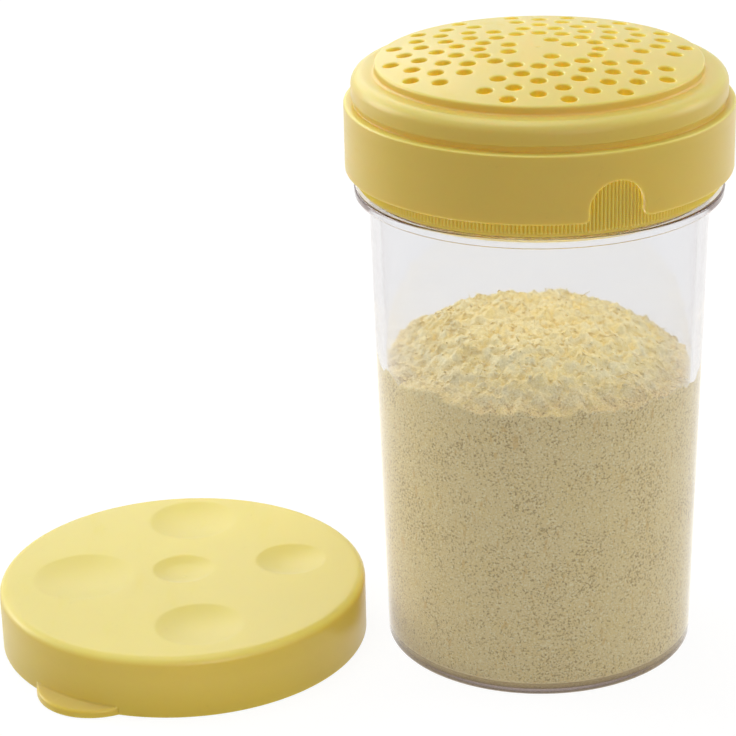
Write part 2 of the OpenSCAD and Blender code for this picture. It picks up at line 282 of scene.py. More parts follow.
# Soft lamps that light everything: name, place, size and power
LAMPS = [
    ("lamp_top", (-0.15, 0.12, 1.3), (0.9, 0.8), 5.2),
    ("lamp_back", (-0.45, 1.0, 0.62), (0.9, 0.5), 2.8),
    ("lamp_left", (-1.2, 0.55, 0.42), (0.7, 0.7), 7.8),
    ("lamp_right", (1.2, 0.2, 0.42), (0.7, 0.7), 4.4),
    ("lamp_front", (0.5, -1.3, 0.36), (1.2, 0.5), 3.1),
]
LAMP_AIM = (-0.03, 0.0, 0.07)

# Weak lamps that light one piece each: name, place, size, power and the piece. They stand for light that
# comes in through the cap, shines low at the lid, glows in the sieve's holes or is thrown up by the floor
PIECE_LAMPS = [
    ("lamp_through_cap", (-0.15, 0.12, 0.97), (0.7, 0.7), 3.8, "grated_cheese_dressed"),
    ("lamp_low", (0.15, -0.75, 0.16), (0.4, 0.3), 1.1, "seal_lid_dressed"),
    ("lamp_under_sieve", (0, 0, 0.1), (0.05, 0.05), 0.04, "sieve_cap_dressed"),
    ("lamp_thrown_up", (0, 0, -0.3), (0.2, 0.2), 0.22, "grated_cheese_dressed"),
]
WARM_LAMP = (1.0, 0.98, 0.92)

# The world's strength on the pieces, and where the camera, gloss or glass looks past the floor
WORLD_LIGHT, WORLD_SEEN = 0.34, 1.0

# Finishes: factors that paint shade on the moulded plastic's colour on its sides and near its foot, the
# length over which its tones blend, the widths of the grooves in the plastic, which take painted shade and
# painted glow, and of the hollows in the cheese, which take painted shade, the tint of rays that the clear
# wall has caught, the count of mirrorings that tells a first one from a later one, and how much of the floor
# shows white
SIDE_SHADE_TINT = (0.91, 0.80, 0.54)
FOOT_SHADE_TINT = (0.93, 0.92, 0.55)
EDGE_BLEND = 0.0004
GROOVE_REACH, HOLLOW_REACH = 0.0019, 0.0025
CAUGHT_TINT = (0.58, 0.50, 0.47)
MIRRORED_ONCE = 1.5
FLOOR_WHITE = 0.8

# The camera that was fitted to the photograph: place, turn in degrees, lens, sensor and clip ends
CAMERA_PLACE = (-0.0388419, -0.5855531, 0.3085118)
CAMERA_TURN = (67.66723, 1.31412, -0.43755)
CAMERA_LENS = 132.45
CAMERA_SENSOR = 36.0
CAMERA_CLIP = (0.05, 20.0)


# Shapes


class Form:
    """The points and faces of one piece while it is made"""

    def __init__(self):
        self.points = []
        self.faces = []

    def add(self, points):
        """Adds points and returns their numbers"""
        start = len(self.points)
        self.points.extend(tuple(p) for p in points)
        return list(range(start, len(self.points)))

    def turn(self, profile, angles, middle=(0, 0)):
        """Adds a row of points for each (radius, height) of a profile, and returns the rows"""
        cos, sin = np.cos(angles), np.sin(angles)
        rows = []
        for r, z in profile:
            r = np.broadcast_to(r, cos.shape)
            z = np.broadcast_to(z, cos.shape)
            rows.append(self.add(np.column_stack([middle[0] + r * cos, middle[1] + r * sin, z]).tolist()))
        return rows

    def join(self, a, b, first=0, last=None):
        """Faces between two rows of as many points, round the whole turn or from one column to another"""
        count = len(a)
        for i in range(first, count if last is None else last):
            i, j = i % count, (i + 1) % count
            self.faces.append((a[i], a[j], b[j], b[i]))

    def join_all(self, rows):
        """Faces between each row and the next, round the whole turn"""
        for a, b in zip(rows, rows[1:]):
            self.join(a, b)

    def spread(self, few, many):
        """Faces between a row and one with several times as many points"""
        step = len(many) // len(few)
        for i, start in enumerate(few):
            run = [many[(i * step + k) % len(many)] for k in range(step + 1)]
            self.faces.append((few[(i + 1) % len(few)], start, *run))

    def tip(self, row, point):
        """Closes a row with triangles to one point"""
        (end,) = self.add([point])
        for i, start in enumerate(row):
            self.faces.append((start, row[(i + 1) % len(row)], end))

    def sheet(self, loops, loose, place):
        """Triangles inside a loop of (number, flat point) pairs and round any further loops, which are holes.
        loose are flat points that place lifts"""
        new = self.add([place(*p) for p in loose])
        numbers = [n for loop in loops for n, _ in loop] + new
        flat = [Vector(p) * MM for loop in loops for _, p in loop] + [Vector(p) * MM for p in loose]
        edges, owner, start = [], [], 0
        for index, loop in enumerate(loops):
            count = len(loop)
            edges += [(start + i, start + (i + 1) % count) for i in range(count)]
            owner += [index] * count
            start += count
        owner += [-1] * len(loose)
        outline = list(range(len(loops[0])))
        ends = zip(flat[: len(outline)], flat[1 : len(outline)] + flat[:1])
        if sum(a.x * b.y - b.x * a.y for a, b in ends) < 0:
            outline.reverse()
        points, _, faces, source, _, within = delaunay_2d_cdt(flat, edges, [outline], 0, 1e-6, True)
        if len(points) != len(flat) or any(len(s) != 1 for s in source):
            raise RuntimeError("two lines of a flat region cross or touch")
        for face, inside in zip(faces, within):
            corners = [source[i][0] for i in face]
            owners = {owner[i] for i in corners}
            if inside and (len(owners) > 1 or owners <= {0, -1}):
                self.faces.append(tuple(numbers[i] for i in corners))


def rounded(corners, steps=5, guard=0.4):
    """A line through corners (r, z, rounding), with an arc at each rounded one. Where there is room, a guard
    point stands on either side of an arc, so that the flat beside it shades flat"""
    line = []
    for i, (r, z, rounding) in enumerate(corners):
        here = Vector((r, z))
        if not rounding:
            line.append((r, z))
            continue
        back = Vector(corners[i - 1][:2]) - here
        ahead = Vector(corners[i + 1][:2]) - here
        half = back.angle(ahead) / 2
        run = rounding / math.tan(half)
        middle = here + (back.normalized() + ahead.normalized()).normalized() * rounding / math.sin(half)
        start = here + back.normalized() * run - middle
        end = here + ahead.normalized() * run - middle
        sweep = math.atan2(start.x * end.y - start.y * end.x, start.dot(end))
        if back.length > run * (1.2 + guard):
            line.append(tuple(here + back.normalized() * (run + rounding * guard)))
        for k in range(steps + 1):
            a = sweep * k / steps
            line.append((
                middle.x + start.x * math.cos(a) - start.y * math.sin(a),
                middle.y + start.x * math.sin(a) + start.y * math.cos(a),
            ))
        if ahead.length > run * (1.2 + guard):
            line.append(tuple(here + ahead.normalized() * (run + rounding * guard)))
    return line


def even_angles(count):
    """Angles of so many points spread evenly round a turn"""
    return np.arange(count) * FULL_TURN / count


def honeycomb(spacing, reach):
    """Points of a hexagonal grid in a square round the origin"""
    points = []
    rise = spacing * math.sqrt(3) / 2
    rows = int(reach / rise) + 1
    columns = int(reach / spacing) + 1
    for j in range(-rows, rows + 1):
        for i in range(-columns, columns + 1):
            points.append(((i + 0.5 * (j % 2)) * spacing, j * rise))
    return points


def circle(x, y, r, count, start=0.0):
    """Flat points evenly round a circle"""
    return [
        (x + r * math.cos(start + FULL_TURN * i / count), y + r * math.sin(start + FULL_TURN * i / count))
        for i in range(count)
    ]


def quarter(steps, first=0):
    """Steps of a quarter round: the part of its radius that is left across it, and that is gone along it"""
    for k in range(first, steps + 1):
        a = math.pi / 2 * k / steps
        yield 1 - math.sin(a), 1 - math.cos(a)


def soft_max(a, b, soft):
    """The larger of a and b, rounded where they meet"""
    near = max(soft - abs(a - b), 0) / soft
    return max(a, b) + near * near * soft / 4


def thread_height(angles, z, start_z, start_angle, laps, ring):
    """Height of a thread above its wall, at one height and all angles. It runs out at both ends"""
    turned = ((angles - start_angle) % FULL_TURN) / FULL_TURN
    tallest = np.zeros_like(angles)
    for lap in range(int(laps) + 1):
        t = turned + lap
        run_out = np.clip(np.minimum(t, laps - t) / RUN_OUT, 0, 1)
        off = np.abs(z - start_z - ring.pitch * t)
        flank = np.clip((ring.root_w / 2 - off) / ((ring.root_w - ring.crest_w) / 2), 0, 1)
        tallest = np.maximum(tallest, ring.depth * run_out * flank * flank * (3 - 2 * flank) * (t <= laps))
    return tallest


def finish_piece(form, name, body, material, crease=38):
    """Makes the piece's object from its form, and puts it in the place of the CAD node of that name"""
    mesh = bpy.data.meshes.new(name)
    mesh.from_pydata(form.points, [], form.faces)
    work = bmesh.new()
    work.from_mesh(mesh)
    bmesh.ops.remove_doubles(work, verts=work.verts, dist=SAME_POINT)
    bmesh.ops.delete(work, geom=[v for v in work.verts if not v.link_faces], context="VERTS")
    bmesh.ops.recalc_face_normals(work, faces=work.faces)
    torn = sum(1 for e in work.edges if len(e.link_faces) != 2)
    if torn:
        raise RuntimeError(f"{name} has {torn} open edges")
    work.to_mesh(mesh)
    work.free()
    mesh.shade_smooth()
    mesh.set_sharp_from_angle(angle=math.radians(crease))
    mesh.materials.append(material)
    piece = bpy.data.objects.new(name + "_dressed", mesh)
    bpy.context.scene.collection.objects.link(piece)
    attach(piece, body)
    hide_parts(name)


# Finishes


class Nodes:
    """The nodes of a material or world while they are made"""

    def __init__(self, tree, kind):
        self.tree = tree
        self.tree.nodes.clear()
        self.output = self.tree.nodes.new("ShaderNodeOutput" + kind)

    def node(self, kind, settings=None, **inputs):
        """Adds a node. An input goes by its name with _ for a space, or by its number after an n"""
        made = self.tree.nodes.new("ShaderNode" + kind)
        for key, value in (settings or {}).items():
            setattr(made, key, value)
        for key, value in inputs.items():
            by_number = key[0] == "n" and key[1:].isdigit()
            self.feed(made.inputs[int(key[1:]) if by_number else key.replace("_", " ")], value)
        return made

    def feed(self, socket, value):
        """Sets an input to a plain value, or links it to another node's output"""
        if isinstance(value, bpy.types.NodeSocket):
            self.tree.links.new(value, socket)
        else:
            socket.default_value = value

    def combine(self, operation, a, b):
        """A sum, product, comparison or the like of two values"""
        return self.node("Math", {"operation": operation}, n0=a, n1=b).outputs[0]

    def place(self):
        """A point's place in the shared frame"""
        return self.node("TexCoord").outputs["Object"]

    def upright(self, vector):
        """The Z of a place or a direction"""
        return self.node("SeparateXYZ", n0=vector).outputs[2]

    def radius(self, place):
        """Distance from the shaker's axis"""
        flat = self.node("VectorMath", {"operation": "MULTIPLY"}, n0=place, n1=(1, 1, 0)).outputs[0]
        return self.node("VectorMath", {"operation": "LENGTH"}, n0=flat).outputs["Value"]

    def noise(self, place, scale, detail=2.0, rough=0.5, stretch=None):
        """Soft noise with so many cells in a metre, narrower along an axis where stretch is more than 1"""
        if stretch:
            place = self.node("Mapping", n0=place, n3=stretch).outputs[0]
        return self.node("TexNoise", Vector=place, Scale=scale, Detail=detail, Roughness=rough).outputs[0]

    def ramp(self, value, low, high, out_low=0.0, out_high=1.0):
        """Spreads a value from low..high to out_low..out_high, clamped"""
        made = self.node("MapRange", n0=value, n1=low, n2=high, n3=out_low, n4=out_high)
        return made.outputs[0]

    def mix(self, part, a, b, blend="MIX"):
        """Colour a with part of it given over to colour b"""
        return self.node("Mix", {"data_type": "RGBA", "blend_type": blend}, n0=part, n6=a, n7=b).outputs[2]

    def sum(self, a, b, weight=1.0):
        """a + b * weight"""
        return self.node("Math", {"operation": "MULTIPLY_ADD"}, n0=b, n1=weight, n2=a).outputs[0]

    def bump(self, height, strength, distance, normal=None):
        """A normal tilted by a height, over another one if it is given"""
        inputs = {"Strength": strength, "Distance": distance, "Height": height}
        if normal is not None:
            inputs["Normal"] = normal
        return self.node("Bump", **inputs).outputs[0]

    def surface(self, shader):
        """Puts the shader on the surface"""
        self.tree.links.new(shader, self.output.inputs["Surface"])


class Finish(Nodes):
    """A node material while it is made"""

    def __init__(self, name):
        self.material = bpy.data.materials.new(name)
        self.material.use_nodes = True
        super().__init__(self.material.node_tree, "Material")

    def surface(self, shader):
        """Puts the shader on the surface and returns the material"""
        super().surface(shader)
        return self.material


def opaque(tint, strength=1.0):
    """A tint, made lighter or darker, as a colour with full cover"""
    return (*[c * strength for c in tint], 1.0)


def moulded_plastic(name, tint, satin, texture=1.0, depth=1.0, shade_below=0.0, holed_r=0.0):
    """Cream yellow moulded plastic: satin, a little light inside it, fine mould texture and light scuffs.
    satin is its roughness, texture the strength of the mould's texture and depth that of the painted shade in
    grooves and of the painted glow in the most shut-in ones. Its sides and all below the height shade_below
    are painted in shade, with more painted shade up to 6 mm over that height, and a painted glow lies inside
    holes nearer the axis than holed_r"""
    made = Finish(name)
    place = made.place()
    cloud = made.noise(place, 22.0, 3.0)
    grain = made.noise(place, 2600.0, 2.0)
    ripple = made.noise(place, 160.0, 2.0)
    scuff = made.ramp(made.noise(place, 260.0, 4.0, 0.6, (1.0, 0.22, 3.0)), 0.60, 0.72)
    speck = made.ramp(made.noise(place, 900.0, 1.0), 0.70, 0.78)
    edge = made.ramp(made.node("NewGeometry").outputs["Pointiness"], 0.505, 0.56)
    shade = made.mix(made.ramp(cloud, 0.35, 0.65), opaque(tint, 0.97), opaque(tint, 1.02))
    shade = made.mix(made.ramp(speck, 0, 1, 0.0, 0.10), shade, opaque(tint, 0.72))
    pale = opaque([min(1.0, c * 0.85 + 0.17) for c in tint])
    shade = made.mix(made.ramp(edge, 0, 1, 0.0, 0.22), shade, pale)
    # Painted shade: faces that turn sideways or down, and all below the given height, take a deeper, darker
    # colour, and it is painted darker still near that height
    upward = made.upright(made.node("TexCoord").outputs["Normal"])
    height = made.upright(place)
    painted_low_shade = made.ramp(height, shade_below, shade_below + EDGE_BLEND, 1, 0)
    painted_side_shade = made.combine("MAXIMUM", made.ramp(upward, 0.75, 0.2), painted_low_shade)
    shade = made.mix(painted_side_shade, shade, opaque(SIDE_SHADE_TINT), "MULTIPLY")
    painted_foot_shade = made.ramp(height, shade_below - 0.0006, shade_below + 0.006, 1, 0)
    shade = made.mix(painted_foot_shade, shade, opaque(FOOT_SHADE_TINT), "MULTIPLY")
    # Painted shade: grooves and corners that the occlusion test finds shut in take a deeper, darker colour
    exposed = made.node("AmbientOcclusion", {"samples": 6}, Distance=GROOVE_REACH).outputs["AO"]
    deep = opaque((tint[0], tint[1] * 0.80, tint[2] * 0.25))
    shade = made.mix(made.ramp(exposed, 0.72, 0.45, 0.0, 0.95 * depth), shade, deep)
    # Painted glow: the most shut-in grooves, and on the sieve the insides of its holes, are painted brighter
    # and more saturated, as if lit through the plastic
    painted_glow = opaque((1.0, min(1.0, tint[1] * 1.5), tint[2] * 0.5))
    shade = made.mix(made.ramp(exposed, 0.40, 0.25, 0.0, depth), shade, painted_glow)
    if holed_r:
        inside = made.ramp(made.radius(place), holed_r, holed_r - EDGE_BLEND)
        inside = made.combine("MULTIPLY", inside, made.ramp(exposed, 0.88, 0.66))
        shade = made.mix(inside, shade, painted_glow)
    rough = made.ramp(cloud, 0.3, 0.7, satin - 0.03, satin + 0.04)
    rough = made.sum(rough, scuff, 0.10)
    normal = made.bump(ripple, 0.10 * texture, 0.00010)
    normal = made.bump(grain, 0.16 * texture, 0.00003, normal)
    shader = made.node(
        "BsdfPrincipled",
        Base_Color=shade,
        Roughness=rough,
        Normal=normal,
        IOR=1.49,
        Specular_IOR_Level=0.45,
        Subsurface_Weight=1.0,
        Subsurface_Radius=(1.0, 0.85, 0.35),
        Subsurface_Scale=0.002,
    )
    return made.surface(shader.outputs[0])


def clear_plastic(name, tint):
    """Clear moulded plastic that lets the lamps through to what is behind it. A ray that is caught inside the
    wall passes on dimmed, because it would otherwise end up black"""
    made = Finish(name)
    place = made.place()
    haze = made.noise(place, 45.0, 3.0)
    wave = made.noise(place, 38.0, 1.0, 0.4, (1.0, 1.0, 0.35))
    scratch = made.ramp(made.noise(place, 500.0, 3.0, 0.6, (1.0, 1.0, 0.05)), 0.66, 0.74)
    rough = made.sum(made.ramp(haze, 0.35, 0.7, 0.03, 0.06), scratch, 0.03)
    normal = made.bump(wave, 0.05, 0.0006)
    # Painted shade: the jar's foot and floor, below 3.1 mm, fade into a dark mauve tint
    jar_foot_shade = made.ramp(made.upright(place), 0.0031, 0.0021)
    shade = made.mix(jar_foot_shade, opaque(tint), opaque((tint[0] * 0.36, tint[1] * 0.29, tint[2] * 0.27)))
    glass = made.node(
        "BsdfPrincipled",
        Base_Color=shade,
        Roughness=rough,
        Normal=normal,
        IOR=1.5,
        Specular_IOR_Level=0.5,
        Transmission_Weight=1.0,
    )
    path = made.node("LightPath")
    lamps = made.combine("MAXIMUM", path.outputs["Is Shadow Ray"], path.outputs["Is Diffuse Ray"])
    caught = made.combine("GREATER_THAN", path.outputs["Glossy Depth"], MIRRORED_ONCE)
    straight = made.combine("MAXIMUM", lamps, caught)
    dimmed = made.mix(caught, opaque((1, 1, 1)), opaque(CAUGHT_TINT))
    passing = made.node("BsdfTransparent", Color=dimmed)
    mixed = made.node("MixShader", Fac=straight, n1=glass.outputs[0], n2=passing.outputs[0])
    return made.surface(mixed.outputs[0])


def cheese_finish(name, tint, deep):
    """Grated hard cheese: fine grains, with painted shadow in its olive gaps and a partly painted shaded tone
    where it is pressed to the wall, painted shade on the heap near the wall and painted warm shade in the
    hollows above
    """
    made = Finish(name)
    place = made.place()
    height = made.upright(place)
    ragged = made.noise(place, 420.0, 3.0, 0.6)
    # packed marks the side pressed to the wall; below, the painted rim shade adds the heap near the wall to
    # it
    packed = made.ramp(made.sum(height, made.ramp(ragged, 0.3, 0.7, -1, 1), 0.0026), 0.0732, 0.0704)
    # Painted shade: the heap's top takes the pressed side's darker tone, more towards the wall
    painted_rim_shade = made.ramp(made.radius(place), 0.0255, 0.0362, 0.0, 0.8)
    packed = made.combine("MAXIMUM", packed, painted_rim_shade)
    fine = made.noise(place, 2500.0, 2.0, 0.6)
    gaps = made.noise(place, 1850.0, 3.0, 0.68)
    crumbs = made.noise(place, 650.0, 3.0, 0.55)
    broad = made.noise(place, 95.0, 3.0, 0.55)
    patches = made.noise(place, 210.0, 2.0, 0.5)
    streaks = made.noise(place, 620.0, 3.0, 0.6, (1.0, 1.0, 0.35))
    pale = opaque([min(1.0, c * 0.92 + 0.10) for c in tint])
    shade = made.mix(made.ramp(fine, 0.36, 0.62, 0.0, 0.85), opaque(tint, 0.84), pale)
    golden = made.ramp(patches, 0.46, 0.62, 0.0, 0.55)
    shade = made.mix(golden, shade, opaque([tint[0] * 0.97, tint[1] * 0.86, tint[2] * 0.48]))
    # The pressed side's darker, greyer tone is partly the pressed cheese's own colour and partly painted
    # shade
    pressed = opaque([tint[0] * 0.89, tint[1] * 0.735, tint[2] * 0.51])
    shade = made.mix(made.ramp(packed, 0, 1, 0.0, 0.85), shade, pressed)
    shade = made.mix(made.ramp(fine, 0.54, 0.64, 0.0, 0.6), shade, pale)
    crowd = made.ramp(broad, 0.36, 0.64, -0.025, 0.035)
    # Painted shadow in the gaps between the grains pressed to the wall
    painted_gap_shadow = made.ramp(made.sum(gaps, crowd, -1.0), 0.455, 0.37)
    painted_gap_shadow = made.combine("MULTIPLY", painted_gap_shadow, made.ramp(packed, 0, 1, 0.0, 0.85))
    shade = made.mix(painted_gap_shadow, shade, opaque([deep[0] * 0.55, deep[1] * 0.53, deep[2] * 0.5]))
    streak = made.combine("MULTIPLY", made.ramp(streaks, 0.635, 0.67, 0.0, 0.55), packed)
    shade = made.mix(streak, shade, opaque(deep))
    # Painted shade: hollows of the heap that the occlusion test finds shut in take a warmer, deeper colour
    exposed = made.node("AmbientOcclusion", {"samples": 6}, Distance=HOLLOW_REACH).outputs["AO"]
    hollow = made.combine("MULTIPLY", made.ramp(exposed, 0.85, 0.55), made.ramp(packed, 0, 1, 0.9, 0))
    shade = made.mix(hollow, shade, opaque([tint[0] * 0.90, tint[1] * 0.74, tint[2] * 0.34]))
    relief = made.sum(made.sum(gaps, fine, 0.5), crumbs, 1.2)
    normal = made.bump(relief, made.ramp(packed, 0, 1, 0.18, 0.55), 0.00035)
    shader = made.node(
        "BsdfPrincipled",
        Base_Color=shade,
        Roughness=made.ramp(fine, 0.3, 0.7, 0.55, 0.75),
        Normal=normal,
        IOR=1.42,
        Specular_IOR_Level=0.3,
        Sheen_Weight=0.22,
        Sheen_Roughness=0.45,
    )
    return made.surface(shader.outputs[0])


def foam_finish(name, tint):
    """Closed-cell foam: matt, with fine round cells"""
    made = Finish(name)
    place = made.place()
    cells = made.node("TexVoronoi", {"feature": "F1"}, Vector=place, Scale=3500.0)
    blotch = made.noise(place, 180.0, 3.0)
    shade = made.mix(made.ramp(blotch, 0.35, 0.65), opaque(tint, 0.94), opaque(tint, 1.0))
    shader = made.node(
        "BsdfPrincipled",
        Base_Color=shade,
        Roughness=made.ramp(blotch, 0.3, 0.7, 0.80, 0.92),
        Normal=made.bump(cells.outputs["Distance"], 0.5, 0.00012),
    )
    return made.surface(shader.outputs[0])


def floor_finish(name, tint):
    """A white floor that keeps the shadows at part of their strength, and that glass shows once as white"""
    made = Finish(name)
    place = made.place()
    tone = made.mix(made.noise(place, 3.0), opaque(tint, 0.985), opaque(tint, 1.0))
    lit = made.node("BsdfPrincipled", Base_Color=tone, Roughness=0.9, Specular_IOR_Level=0.1)
    path = made.node("LightPath")
    glossy, passed = path.outputs["Is Glossy Ray"], path.outputs["Is Transmission Ray"]
    first = made.combine("LESS_THAN", path.outputs["Glossy Depth"], MIRRORED_ONCE)
    mirrored = made.combine("MULTIPLY", made.sum(glossy, passed, -1.0), first)
    white = made.node("Emission", Color=(1, 1, 1, 1), Strength=made.ramp(mirrored, 0, 1, 1.13, 1.5))
    seen = made.combine("MAXIMUM", path.outputs["Is Camera Ray"], made.combine("MAXIMUM", glossy, passed))
    part = made.combine("MULTIPLY", seen, FLOOR_WHITE)
    mixed = made.node("MixShader", Fac=part, n1=lit.outputs[0], n2=white.outputs[0])
    return made.surface(mixed.outputs[0])


# Pieces


class SHAKER_OT_stage(bpy.types.Operator):
    """Sets the white floor, the camera and the soft lamps"""

    bl_idname = "shaker.stage"
    bl_label = "Stage"

    floor_half: length("Floor", "Half of the floor's width", 3.0)
    floor_drop: length("Floor drop", "How far the floor lies below the foot", 0.0002)

    def execute(self, context):
        half, z = self.floor_half, -self.floor_drop
        corners = [(-half, -half, z), (half, -half, z), (half, half, z), (-half, half, z)]
        mesh = bpy.data.meshes.new("studio_floor")
        mesh.from_pydata(corners, [], [(0, 1, 2, 3)])
        mesh.materials.append(floor_finish("studio_white", context.scene.shaker_finish.floor))
        floor = bpy.data.objects.new("studio_floor", mesh)
        context.scene.collection.objects.link(floor)
        self.light_world(context)
        for lamp in LAMPS:
            self.lamp(context, *lamp)
        for *lamp, piece in PIECE_LAMPS:
            self.only_lights(self.lamp(context, *lamp), piece)
        bpy.data.lights["lamp_through_cap"].color = WARM_LAMP
        bpy.data.objects["lamp_under_sieve"].rotation_euler = (math.pi, 0, 0)
        # The clear wall would mirror the lid as a patch with sharp edges
        bpy.data.objects["seal_lid_dressed"].visible_glossy = False
        camera = bpy.data.cameras.new("photo_camera")
        camera.sensor_width, camera.lens = CAMERA_SENSOR, CAMERA_LENS
        camera.clip_start, camera.clip_end = CAMERA_CLIP
        holder = bpy.data.objects.new("photo_camera", camera)
        holder.location = CAMERA_PLACE
        holder.rotation_euler = [math.radians(a) for a in CAMERA_TURN]
        context.scene.collection.objects.link(holder)
        context.scene.camera = holder
        context.scene.view_settings.view_transform = "Standard"
        return {"FINISHED"}

    def lamp(self, context, name, place, size, power):
        """A soft lamp that looks at the object"""
        lamp = bpy.data.lights.new(name, "AREA")
        lamp.shape, lamp.energy = "RECTANGLE", power
        lamp.size, lamp.size_y = size
        holder = bpy.data.objects.new(name, lamp)
        context.scene.collection.objects.link(holder)
        holder.location = place
        aim = Vector(LAMP_AIM) - Vector(place)
        holder.rotation_euler = aim.to_track_quat("-Z", "Y").to_euler()
        return holder

    def only_lights(self, holder, name):
        """Lets a lamp light one piece only, and lets that piece alone shade it"""
        only = bpy.data.collections.new(holder.name + "_lights")
        only.objects.link(bpy.data.objects[name])
        holder.light_linking.receiver_collection = only
        holder.light_linking.blocker_collection = only

    def light_world(self, context):
        """Plain grey light from all round, and white where the camera, gloss or glass looks past the floor"""
        world = bpy.data.worlds.new("studio_world")
        context.scene.world = world
        world.use_nodes = True
        made = Nodes(world.node_tree, "World")
        path = made.node("LightPath")
        seen = made.combine("MAXIMUM", path.outputs["Is Camera Ray"], path.outputs["Is Glossy Ray"])
        seen = made.combine("MAXIMUM", seen, path.outputs["Is Transmission Ray"])
        strength = made.ramp(seen, 0, 1, WORLD_LIGHT, WORLD_SEEN)
        background = made.node("Background", Color=(1.0, 1.0, 1.0, 1.0), Strength=strength)
        made.surface(background.outputs[0])


class SHAKER_OT_jar(bpy.types.Operator):
    """Makes the clear jar with its collar, neck and thread"""

    bl_idname = "shaker.jar"
    bl_label = "Jar"

    columns: number("Columns", "Points round the jar", 288)
    neck_step: length("Neck step", "Height of a face on the neck", 0.0003)

    def execute(self, context):
        s, ring = context.scene.shaker_jar, context.scene.shaker_ring
        form = Form()
        angles = even_angles(self.columns)
        collar_r, lip_z, collar_z = jar_high.x, jar_high.z, s.wall_h + s.collar_t
        neck_in_r = s.neck_r - s.neck_wall
        corner, bend = 0.0004, 0.003
        outside = rounded([
            (s.recess_r - 0.002, s.recess_depth, 0),
            (s.recess_r, s.recess_depth, corner),
            (s.recess_r + 0.0006, 0, corner),
            (s.foot_r, 0, s.foot_round),
            (s.top_r, s.wall_h, s.collar_round),
            (collar_r, s.wall_h, s.collar_round),
            (collar_r, collar_z, s.collar_round),
            (s.neck_r, collar_z, corner),
            (s.neck_r, collar_z + 0.0008, 0),
        ], steps=6)
        rows = form.turn(outside, angles)
        neck_foot, neck_top = collar_z + 0.0011, lip_z - 0.0012
        count = int((neck_top - neck_foot) / self.neck_step)
        for z in np.linspace(neck_foot, neck_top, count):
            height = thread_height(angles, z, s.thread_z, 0, s.thread_turns, ring)
            rows += form.turn([(s.neck_r + height, z)], angles)
        inside = rounded([
            (s.neck_r, lip_z - 0.001, 0),
            (s.neck_r, lip_z, s.lip_round),
            (neck_in_r, lip_z, s.lip_round),
            (neck_in_r, collar_z, bend),
            (s.top_r - s.wall, s.wall_h, bend),
            (s.foot_r - s.wall, s.floor, s.floor_round),
            (s.foot_r * 0.5, s.floor, 0),
        ], steps=6)
        rows += form.turn(inside, angles)
        form.join_all(rows)
        form.tip(rows[0], (0, 0, s.recess_depth))
        form.tip(rows[-1], (0, 0, s.floor))
        material = clear_plastic("clear_moulded_plastic", context.scene.shaker_finish.clear)
        finish_piece(form, "jar", "jar", material)
        return {"FINISHED"}


class SHAKER_OT_washer(bpy.types.Operator):
    """Makes the foam washer between the jar's lip and the ring's web"""

    bl_idname = "shaker.washer"
    bl_label = "Sealing washer"

    columns: number("Columns", "Points round the washer", 240)

    def execute(self, context):
        form = Form()
        low, high = washer_low.z, washer_high.z
        middle_z = (low + high) / 2
        outer = washer_high.x
        inner = outer - context.scene.shaker_jar.neck_wall
        line = rounded([
            (inner, middle_z, 0),
            (inner, low, WASHER_ROUND),
            (outer, low, WASHER_ROUND),
            (outer, high, WASHER_ROUND),
            (inner, high, WASHER_ROUND),
            (inner, middle_z + 0.00001, 0),
        ], steps=4)
        rows = form.turn(line[:-1], even_angles(self.columns))
        form.join_all(rows + rows[:1])
        material = foam_finish("closed_cell_foam", context.scene.shaker_finish.foam)
        finish_piece(form, "sealing_washer", "washer", material)
        return {"FINISHED"}


